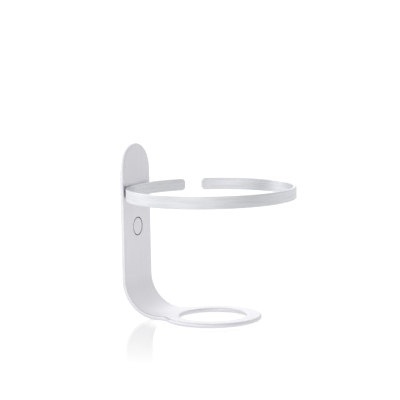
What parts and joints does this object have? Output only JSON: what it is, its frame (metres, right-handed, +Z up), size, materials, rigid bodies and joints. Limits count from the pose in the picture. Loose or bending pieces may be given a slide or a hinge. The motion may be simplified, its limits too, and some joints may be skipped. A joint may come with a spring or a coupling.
{
  "type": "hair dryer holder",
  "caption": "Wall-mounted hair dryer holder: a bent aluminium strip with an open band for the barrel, a flat ring for the nose and an adhesive pad behind.",
  "frame": {"origin": "middle of the adhesive pad's rear face, on the wall", "axes": "+Z up, +Y into the wall, X along the wall; the band and the foot reach out towards -Y, and the slot in the band is on the +X side"},
  "size_m": [0.1, 0.1031, 0.103],
  "materials": {
    "strip_aluminium": "satin",
    "band_aluminium": "satin",
    "rivet_aluminium": "satin",
    "cover_aluminium": "satin",
    "pad_foam": "matte"
  },
  "bodies": {
    "root": {"bracket": "strip_aluminium", "cradle_band": "band_aluminium", "band_rivet_left": "rivet_aluminium", "band_rivet_right": "rivet_aluminium", "screw_cover": "cover_aluminium", "adhesive_pad": "pad_foam"}
  },
  "joints": []
}
